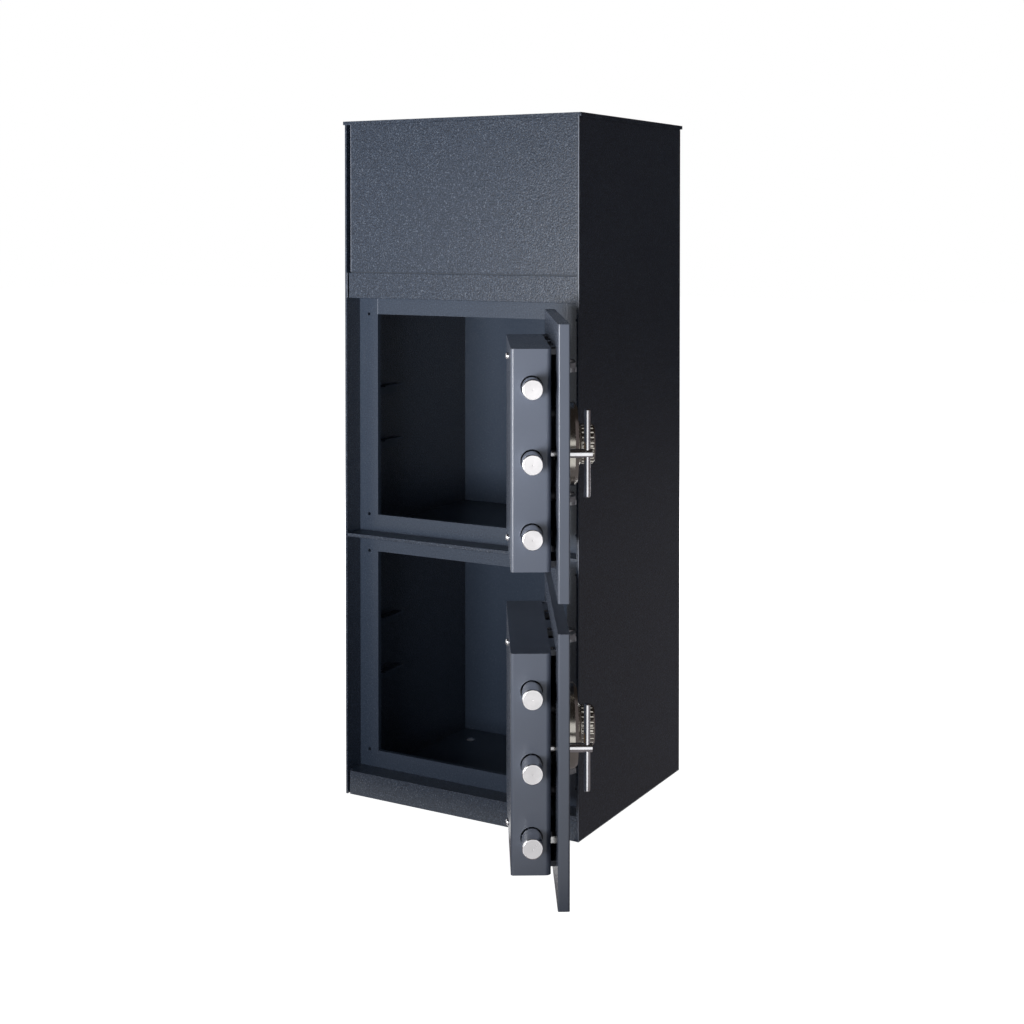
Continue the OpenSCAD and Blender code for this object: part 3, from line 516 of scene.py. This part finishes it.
def cross_head():
    """A pan head with a cross recess, one unit wide, its seat at the origin."""
    profile = [(0, 0), (0.47, 0), (0.5, 0.04), (0.5, 0.12), (0.47, 0.24), (0.39, 0.34),
               (0.25, 0.4), (0, 0.42)]
    recess_long, recess_wide, recess_floor, above = 0.56, 0.11, 0.21, 0.71
    head = Shape()
    head.lathe(profile, Matrix(), 48)
    solid = bpy.data.objects.new("cross_head", head.done("cross_head"))
    bpy.context.scene.collection.objects.link(solid)
    cutters = []
    for turn in (0, math.pi/2):
        bar = bmesh.new()
        bmesh.ops.create_cube(bar, size=1.0)
        bmesh.ops.scale(bar, vec=(recess_long, recess_wide, above - recess_floor), verts=bar.verts)
        bmesh.ops.translate(bar, vec=(0, 0, (above + recess_floor)/2), verts=bar.verts)
        bmesh.ops.rotate(bar, matrix=Matrix.Rotation(turn, 3, "Z"), verts=bar.verts)
        mesh = bpy.data.meshes.new("cutter")
        bar.to_mesh(mesh)
        bar.free()
        cutter = bpy.data.objects.new("cutter", mesh)
        bpy.context.scene.collection.objects.link(cutter)
        cutters.append(cutter)
        cut = solid.modifiers.new("recess", "BOOLEAN")
        cut.operation = "DIFFERENCE"
        cut.solver = "EXACT"
        cut.object = cutter
    bpy.context.view_layer.update()
    ready = solid.evaluated_get(bpy.context.evaluated_depsgraph_get())
    mesh = bpy.data.meshes.new_from_object(ready)
    for spare in cutters + [solid]:
        bpy.data.objects.remove(spare)
    return mesh


def cover_screws(finishes):
    """Cross-head screws in place of the plain heads, bright in the cover and darkened with painted shade in the
    tabs.
    """
    first_spin, more_spin = 11, 37
    head = cross_head()
    for door in DOORS:
        place = door_place(door)
        cover, tabs = Shape(), Shape()
        cover_y = corners_of(solids_of(door + "_housing", place)[0])[1].y
        for index, points in enumerate(solids_of(door + "_housing_screws", place)):
            low, high = corners_of(points)
            middle = (low + high)/2
            size = high - low
            thin = min(range(3), key=lambda axis: size[axis])
            way = Vector((0, 0, 0))
            way[thin] = 1 if thin == 1 or middle.z > 0 else -1
            seat = middle - way*size[thin]/2
            wide = max(size)
            spin = math.radians(more_spin*index + first_spin)
            screws = cover if middle.y > cover_y - 1*MM else tabs
            screws.add(head, place @ Matrix.Translation(seat) @ facing(way, spin)
                       @ Matrix.Diagonal((wide, wide, wide, 1)))
        cover.piece(door + "_cover_screws", finishes["bright_chrome"], door + "_door",
                    "bright_chrome", [door + "_housing_screws"])
        tabs.piece(door + "_tab_screws", finishes["shade_painted_steel"], door + "_door", "bright_chrome")


def numeral_mesh(text, size):
    """A filled numeral in the XY plane, centred on X with its foot at the origin."""
    letters = bpy.data.curves.new("numeral", "FONT")
    letters.body = text
    letters.size = size
    letters.align_x = "CENTER"
    written = bpy.data.objects.new("numeral", letters)
    bpy.context.scene.collection.objects.link(written)
    bpy.context.view_layer.update()
    ready = written.evaluated_get(bpy.context.evaluated_depsgraph_get())
    mesh = bpy.data.meshes.new_from_object(ready)
    bpy.data.objects.remove(written)
    return mesh


def dial_marks(finishes):
    """A hundred filled divisions with numerals on the dial's skirt, and an index on its ring."""
    lift = 0.05*MM
    numeral_size, numeral_foot = 4.2*MM, 2.6*MM
    rim_gap = 0.5*MM
    tens, fives, ones = (5.2*MM, 0.26*MM), (3.8*MM, 0.17*MM), (2.6*MM, 0.17*MM)
    index_tip, index_base = 0.1*MM, 1.3*MM
    for door in DOORS:
        face = door_place(door) @ facing((0, -1, 0))
        points = [face.inverted() @ vertex.co for vertex in NODES[door + "_dial"].data.vertices]
        rings = sorted({(round(math.hypot(p.x, p.y), 4), round(p.z, 4)) for p in points})
        rim_r, rim_z = rings[-1]
        foot_r, foot_z = max(ring for ring in rings if ring[0] < rim_r - 1*MM)

        def on_skirt(x, y):
            """The skirt's surface at a distance from the axis."""
            share = (rim_r - math.hypot(x, y))/(rim_r - foot_r)
            return face @ Vector((x, y, rim_z + share*(foot_z - rim_z) + lift))

        marks = Shape()
        for index in range(100):
            turn = -2*math.pi*index/100 + math.pi/2
            reach, half = tens if index % 10 == 0 else fives if index % 5 == 0 else ones
            out = Vector((math.cos(turn), math.sin(turn), 0))
            side = Vector((-out.y, out.x, 0))*half
            near, far = out*(rim_r - rim_gap - reach), out*(rim_r - rim_gap)
            marks.mesh.faces.new([marks.mesh.verts.new(on_skirt(p.x, p.y))
                                  for p in (near - side, near + side, far + side, far - side)])
        for ten in range(10):
            mesh = numeral_mesh(str(10*ten), numeral_size)
            base_r = foot_r + numeral_foot
            spin = Matrix.Rotation(-2*math.pi*ten/10, 4, "Z")
            for vertex in mesh.vertices:
                spot = spin @ Vector((vertex.co.x, vertex.co.y + base_r, 0))
                vertex.co = on_skirt(spot.x, spot.y)
            marks.add(mesh, Matrix())
            bpy.data.meshes.remove(mesh)
        marks.piece(door + "_dial_marks", finishes["dial_ink"], door + "_dial", "dial_metal")

        ring_mesh = NODES[door + "_dial_ring"].data
        ring_points = [face.inverted() @ vertex.co for vertex in ring_mesh.vertices]
        top = max(p.z for p in ring_points)
        lip = [math.hypot(p.x, p.y) for p in ring_points if p.z > top - 0.01*MM]
        index_mark = Shape()
        low_r, high_r = min(lip) + 0.3*MM, max(lip) - 0.2*MM
        corners = [(-index_tip, low_r), (index_tip, low_r), (index_base, high_r),
                   (-index_base, high_r)]
        index_mark.mesh.faces.new([index_mark.mesh.verts.new(face @ Vector((x, y, top + lift)))
                                   for x, y in corners])
        index_mark.piece(door + "_dial_index", finishes["dial_ink"], door + "_door", "dial_metal")


def welds(finishes):
    """Painted weld beads where hinge arms, dead bars and hinge lugs join their plates."""
    size = 2.2*MM
    touch = 0.05*MM
    for door in DOORS:
        place = door_place(door)
        beads = Shape()
        plate_low, plate_high = corners_of(solids_of(door + "_door_plate", place)[0])
        for points in solids_of(door + "_hinge_arms", place):
            start, end = corners_of([p for p in points if abs(p.y - plate_low.y) < touch])
            for z, up in ((start.z, -1), (end.z, 1)):
                beads.bead((start.x, plate_low.y, z), (end.x, plate_low.y, z),
                           (0, -1, 0), (0, 0, up), size)
        for points in solids_of(door + "_dead_bar", place):
            start, end = corners_of([p for p in points if abs(p.y - plate_high.y) < touch])
            for x, side in ((start.x, -1), (end.x, 1)):
                beads.bead((x, plate_high.y, start.z), (x, plate_high.y, end.z),
                           (side, 0, 0), (0, 1, 0), size)
        bmesh.ops.transform(beads.mesh, matrix=place, verts=beads.mesh.verts)
        beads.piece(door + "_welds", finishes["smooth_grey"], door + "_door", "smooth_grey")
    lugs = Shape()
    for points in solids_of("hinge_lugs", Matrix()):
        wall_x = max(p.x for p in points)
        start, end = corners_of([p for p in points if abs(p.x - wall_x) < touch])
        for z, up in ((start.z, -1), (end.z, 1)):
            lugs.bead((wall_x, start.y, z), (wall_x, end.y, z), (-1, 0, 0), (0, 0, up), size)
    lugs.piece("lug_welds", finishes["smooth_grey"], "casing", "smooth_grey")


def strip(shape, x, y, z):
    """A thin upright line that faces the front, between two x and two z."""
    corners = [(x[0], y, z[0]), (x[1], y, z[0]), (x[1], y, z[1]), (x[0], y, z[1])]
    shape.mesh.faces.new([shape.mesh.verts.new(corner) for corner in corners])


def edge_lines(finishes):
    """Painted highlights along the front sheets' edges and the upper frame's seams, and painted shade in the
    head's joint.
    """
    proud = 0.04*MM
    wide = 0.8*MM
    seam_half = 0.3*MM
    joint_depth = 0.6*MM
    names = ("right_wall", "head_panel", "header_band", "upper_door_frame")
    wall, panel, band, frame_box = (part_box(name) for name in names)
    edges = Shape()
    # Pale strips of painted highlight along the right wall's front edge and the head panel's and band's left edges
    strip(edges, (wall[1].x - wide, wall[1].x), wall[0].y - proud, (wall[0].z, wall[1].z))
    for box in (panel, band):
        strip(edges, (box[0].x, box[0].x + wide), box[0].y - proud, (box[0].z, box[1].z))
    edges.piece("edges_painted_highlight", finishes["highlight_paint"], "casing", "textured_charcoal")
    front_y = frame_box[0].y
    front = [v.co for v in NODES["upper_door_frame"].data.vertices if v.co.y < front_y + proud]
    left = max(p.x for p in front if p.x < 0)
    top = max(p.z for p in front if abs(p.x - left) < proud)
    seams = Shape()
    # Pale strips of painted highlight along the upper frame's seams
    for x in (left, -left):
        strip(seams, (x - seam_half, x + seam_half), front_y - proud, (top, frame_box[1].z))
    seams.piece("seams_painted_highlight", finishes["highlight_paint"], "casing", "textured_charcoal")
    # A dark sheet of painted shade in the gap between the head panel and the band
    joint = Shape()
    strip(joint, (panel[0].x, panel[1].x), panel[0].y + joint_depth, (band[1].z, panel[0].z))
    joint.piece("head_joint_painted_shade", finishes["joint_shade"], "casing", "textured_charcoal")


def light_panel(name, place, target, size, power, spread=180, mirrored=True):
    """A soft rectangular lamp aimed at a point. Cameras don't see it, and reflections may."""
    data = bpy.data.lights.new(name, "AREA")
    data.shape = "RECTANGLE"
    data.size, data.size_y = size
    data.energy = power
    data.spread = math.radians(spread)
    lamp = bpy.data.objects.new(name, data)
    lamp.location = place
    lamp.rotation_euler = (Vector(target) - Vector(place)).to_track_quat("-Z", "Y").to_euler()
    lamp.visible_camera = False
    lamp.visible_glossy = mirrored
    bpy.context.scene.collection.objects.link(lamp)


def stage_shader(name):
    """A node tree for the floor, a card or the world, empty but for its output."""
    block = bpy.data.worlds.new(name) if name == "studio" else bpy.data.materials.new(name)
    block.use_nodes = True
    tree = block.node_tree
    tree.nodes.clear()
    kind = "ShaderNodeOutputWorld" if name == "studio" else "ShaderNodeOutputMaterial"
    return block, tree, tree.nodes.new(kind)


def level_by_ray(tree, rays, unseen):
    """A strength of 1 for the named kinds of ray and of another level for the rest."""
    path = tree.nodes.new("ShaderNodeLightPath")
    total = path.outputs[rays[0]]
    for ray in rays[1:]:
        either = tree.nodes.new("ShaderNodeMath")
        either.operation = "MAXIMUM"
        tree.links.new(total, either.inputs[0])
        tree.links.new(path.outputs[ray], either.inputs[1])
        total = either.outputs[0]
    level = tree.nodes.new("ShaderNodeMapRange")
    level.inputs["To Min"].default_value = unseen
    tree.links.new(total, level.inputs["Value"])
    return level.outputs[0]


def white_surroundings():
    """White to the eye and in reflections, and a low even light on the object."""
    world, tree, output = stage_shader("studio")
    shine = tree.nodes.new("ShaderNodeBackground")
    shine.inputs["Color"].default_value = (1, 1, 1, 1)
    rays = ("Is Camera Ray", "Is Glossy Ray", "Is Transmission Ray")
    tree.links.new(level_by_ray(tree, rays, AMBIENT), shine.inputs["Strength"])
    tree.links.new(shine.outputs[0], output.inputs["Surface"])
    bpy.context.scene.world = world


def pale_floor():
    """White where nothing shades it, and wholly white away from the object."""
    reach, below = 15, -0.05*MM
    material, tree, output = stage_shader("pale_floor")
    matt = tree.nodes.new("ShaderNodeBsdfDiffuse")
    matt.inputs["Color"].default_value = (0.7, 0.7, 0.7, 1)
    glow = tree.nodes.new("ShaderNodeEmission")
    rays = ("Is Camera Ray", "Is Glossy Ray")
    tree.links.new(level_by_ray(tree, rays, 0.0), glow.inputs["Strength"])
    place = tree.nodes.new("ShaderNodeTexCoord")
    middle = tree.nodes.new("ShaderNodeTexGradient")
    middle.gradient_type = "SPHERICAL"
    fade = tree.nodes.new("ShaderNodeMapRange")
    fade.inputs["From Min"].default_value = 0.25
    fade.inputs["From Max"].default_value = 0.6
    fade.inputs["To Min"].default_value = 1.0
    fade.inputs["To Max"].default_value = 0.94
    tree.links.new(place.outputs["Object"], middle.inputs["Vector"])
    tree.links.new(middle.outputs["Fac"], fade.inputs["Value"])
    tree.links.new(fade.outputs[0], glow.inputs["Color"])
    both = tree.nodes.new("ShaderNodeAddShader")
    tree.links.new(matt.outputs[0], both.inputs[0])
    tree.links.new(glow.outputs[0], both.inputs[1])
    tree.links.new(both.outputs[0], output.inputs["Surface"])
    corners = [(-reach, -reach, below), (reach, -reach, below), (reach, reach, below),
               (-reach, reach, below)]
    stage_sheet("floor", corners, material)


def stage_sheet(name, corners, material):
    """A flat sheet of the stage through four corners."""
    mesh = bpy.data.meshes.new(name)
    mesh.from_pydata(corners, [], [(0, 1, 2, 3)])
    mesh.materials.append(material)
    sheet = bpy.data.objects.new(name, mesh)
    bpy.context.scene.collection.objects.link(sheet)
    return sheet


def dim_cards():
    """Dim cards round the white front, seen only in reflections, as the dark ends of a studio."""
    side, front, back, high, low = 2.2, -2.3, 3.5, 2.0, 0.001
    white_to_y, white_to_z = -1.25, 1.2
    right_x, right_y = 0.17, -0.6
    left_x, left_y, left_back = 0.15, -1.2, -0.2
    cards = {
        "card_right": (DIM_SIDE, [(side, white_to_y, 0), (side, back, 0), (side, back, high),
                                  (side, white_to_y, high)]),
        "card_back": (DIM_ABOVE, [(side, back, 0), (-side, back, 0), (-side, back, high),
                                  (side, back, high)]),
        "card_above": (DIM_ABOVE, [(-side, front, high), (side, front, high), (side, back, high),
                                   (-side, back, high)]),
        "card_front": (DIM_ABOVE, [(-side, front, white_to_z), (side, front, white_to_z),
                                   (side, front, high), (-side, front, high)]),
        "card_floor_right": (DIM_FLOOR, [(right_x, right_y, low), (side, right_y, low),
                                         (side, back, low), (right_x, back, low)]),
        "card_floor_left": (DIM_FLOOR, [(-side, left_y, low), (left_x, left_y, low),
                                        (left_x, left_back, low), (-side, left_back, low)]),
    }
    for name, (level, corners) in cards.items():
        material, tree, output = stage_shader(name)
        dim = tree.nodes.new("ShaderNodeEmission")
        dim.inputs["Color"].default_value = level
        tree.links.new(dim.outputs[0], output.inputs["Surface"])
        card = stage_sheet(name, corners, material)
        card.visible_camera = False
        card.visible_shadow = False
        card.visible_diffuse = False


def studio():
    """White surroundings, a pale floor that keeps a soft shadow, and soft lamps."""
    white_surroundings()
    pale_floor()
    dim_cards()
    light_panel("key", place=(0.06, -1.75, 0.45), target=(-0.2, -0.15, 0.90),
                size=(0.7, 0.5), power=7.6, spread=86)
    light_panel("back_left", place=(-1.2, 1.9, 1.4), target=(0, 0.1, 0.5),
                size=(0.9, 1.2), power=26)
    light_panel("back_right", place=(0.5, 3.0, 1.1), target=(0.25, -0.2, 0.45),
                size=(0.9, 1.2), power=40, mirrored=False)


photo_camera()
studio()
bpy.context.scene.view_settings.view_transform = "Standard"
finishes = all_finishes()
dress_nodes(finishes)
soften_sheets()
turned_bolts(finishes)
cover_screws(finishes)
dial_marks(finishes)
welds(finishes)
edge_lines(finishes)
